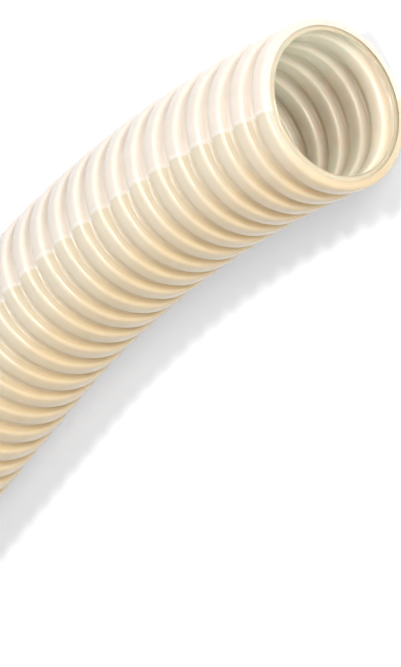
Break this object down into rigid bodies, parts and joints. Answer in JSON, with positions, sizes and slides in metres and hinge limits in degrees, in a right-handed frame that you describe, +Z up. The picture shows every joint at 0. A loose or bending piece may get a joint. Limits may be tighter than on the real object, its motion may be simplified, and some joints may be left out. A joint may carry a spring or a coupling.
{
  "type": "corrugated conduit",
  "caption": "Semi-rigid corrugated plastic tube that guards and guides cables: ring-waved wall, clear bore, square-cut ends, lying in the slight bend it keeps from its reel.",
  "frame": {"origin": "centre of the mouth's cut face, on the bore axis", "axes": "+X runs along the tube's straight middle and out at the mouth's end, which has turned 18.6 degrees towards -Y; the far end mirrors it; +Z is up with the tube lying on a floor"},
  "size_m": [0.6147, 0.0947, 0.0603],
  "materials": {
    "natural_plastic": "glossy, slightly translucent natural ivory plastic, as blow-moulded"
  },
  "bodies": {
    "root": {"conduit": "natural_plastic"}
  },
  "joints": []
}
